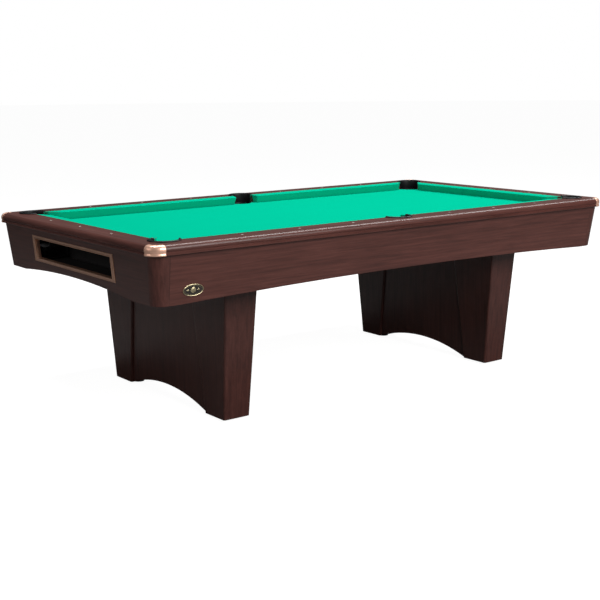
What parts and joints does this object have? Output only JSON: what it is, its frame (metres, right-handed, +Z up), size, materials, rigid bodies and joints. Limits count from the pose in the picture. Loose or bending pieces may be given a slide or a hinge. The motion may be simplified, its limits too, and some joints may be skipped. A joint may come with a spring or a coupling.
{
  "type": "pool table",
  "caption": "Eight-foot pool table with slate bed under cloth, drop pockets, ball return window, capped rail corners and arched pedestal legs on levelling feet.",
  "frame": {"origin": "on the floor, under the centre of the table", "axes": "+X along the table away from the ball-return end, +Y from the name-plate side to the far side, +Z up"},
  "size_m": [2.5612, 1.4412, 0.821],
  "materials": {
    "walnut_laminate": "dark red-brown woodgrain laminate, satin",
    "frame_wood": "plain sawn softwood",
    "slate": "honed grey slate",
    "zinc_steel": "zinc plated",
    "cloth": "napped wool cloth",
    "cushion_rubber": "natural rubber cushion",
    "liner_plastic": "black moulded rubber, semi-gloss",
    "gutter_plastic": "black felt-lined trough",
    "copper": "satin copper plating",
    "plate_brass": "aged brass",
    "pearl": "pearl",
    "foot_plastic": "black moulded foot"
  },
  "bodies": {
    "table": {"ball_box": "frame_wood", "bed_cloth": "cloth", "cabinet_end_left": "walnut_laminate", "cabinet_end_right": "walnut_laminate", "cabinet_side_front": "walnut_laminate", "cabinet_side_rear": "walnut_laminate", "corner_cap_front_left": "copper", "corner_cap_front_right": "copper", "corner_cap_rear_left": "copper", "corner_cap_rear_right": "copper", "corner_post_front_left": "walnut_laminate", "corner_post_front_right": "walnut_laminate", "corner_post_rear_left": "walnut_laminate", "corner_post_rear_right": "walnut_laminate", "cross_beams": "frame_wood", "cushion_cloths": "cloth", "cushion_front_left": "cushion_rubber", "cushion_front_right": "cushion_rubber", "cushion_left": "cushion_rubber", "cushion_rear_left": "cushion_rubber", "cushion_rear_right": "cushion_rubber", "cushion_right": "cushion_rubber", "foot_inserts": "zinc_steel", "gutter_front": "gutter_plastic", "gutter_rear": "gutter_plastic", "leg_bolts": "zinc_steel", "leg_column_front_left": "walnut_laminate", "leg_column_front_right": "walnut_laminate", "leg_column_rear_left": "walnut_laminate", "leg_column_rear_right": "walnut_laminate", "leg_panel_left": "walnut_laminate", "leg_panel_right": "walnut_laminate", "leg_plates": "frame_wood", "long_beams": "frame_wood", "name_plate": "plate_brass", "pocket_liner_front": "liner_plastic", "pocket_liner_front_left": "liner_plastic", "pocket_liner_front_right": "liner_plastic", "pocket_liner_rear": "liner_plastic", "pocket_liner_rear_left": "liner_plastic", "pocket_liner_rear_right": "liner_plastic", "rail_bolts": "zinc_steel", "rail_front": "walnut_laminate", "rail_left": "walnut_laminate", "rail_rear": "walnut_laminate", "rail_right": "walnut_laminate", "rail_sights": "pearl", "return_trim": "copper", "slate_centre": "slate", "slate_left": "slate", "slate_right": "slate", "slate_screws": "zinc_steel"},
    "foot_pad_front_left": {"foot_pad_front_left": "foot_plastic"},
    "foot_stud_front_left": {"foot_stud_front_left": "zinc_steel"},
    "foot_pad_front_right": {"foot_pad_front_right": "foot_plastic"},
    "foot_stud_front_right": {"foot_stud_front_right": "zinc_steel"},
    "foot_pad_rear_left": {"foot_pad_rear_left": "foot_plastic"},
    "foot_stud_rear_left": {"foot_stud_rear_left": "zinc_steel"},
    "foot_pad_rear_right": {"foot_pad_rear_right": "foot_plastic"},
    "foot_stud_rear_right": {"foot_stud_rear_right": "zinc_steel"}
  },
  "joints": [
    {"name": "foot_travel_front_left", "type": "slide", "parent": "table", "child": "foot_pad_front_left", "axis": [0, 0, -1], "range_m": [0, 0.014]},
    {"name": "foot_turn_front_left", "type": "hinge", "parent": "foot_pad_front_left", "child": "foot_stud_front_left", "pos_m": [-0.769, -0.37, 0.02], "axis": [0, 0, -1], "range_deg": [0, 2880]},
    {"name": "foot_travel_front_right", "type": "slide", "parent": "table", "child": "foot_pad_front_right", "axis": [0, 0, -1], "range_m": [0, 0.014]},
    {"name": "foot_turn_front_right", "type": "hinge", "parent": "foot_pad_front_right", "child": "foot_stud_front_right", "pos_m": [0.769, -0.37, 0.02], "axis": [0, 0, -1], "range_deg": [0, 2880]},
    {"name": "foot_travel_rear_left", "type": "slide", "parent": "table", "child": "foot_pad_rear_left", "axis": [0, 0, -1], "range_m": [0, 0.014]},
    {"name": "foot_turn_rear_left", "type": "hinge", "parent": "foot_pad_rear_left", "child": "foot_stud_rear_left", "pos_m": [-0.769, 0.37, 0.02], "axis": [0, 0, -1], "range_deg": [0, 2880]},
    {"name": "foot_travel_rear_right", "type": "slide", "parent": "table", "child": "foot_pad_rear_right", "axis": [0, 0, -1], "range_m": [0, 0.014]},
    {"name": "foot_turn_rear_right", "type": "hinge", "parent": "foot_pad_rear_right", "child": "foot_stud_rear_right", "pos_m": [0.769, 0.37, 0.02], "axis": [0, 0, -1], "range_deg": [0, 2880]}
  ],
  "couplings": [
    {"joint": "foot_turn_front_left", "follows": "foot_travel_front_left", "rad_per_m": 3590.4},
    {"joint": "foot_turn_front_right", "follows": "foot_travel_front_right", "rad_per_m": 3590.4},
    {"joint": "foot_turn_rear_left", "follows": "foot_travel_rear_left", "rad_per_m": 3590.4},
    {"joint": "foot_turn_rear_right", "follows": "foot_travel_rear_right", "rad_per_m": 3590.4}
  ]
}
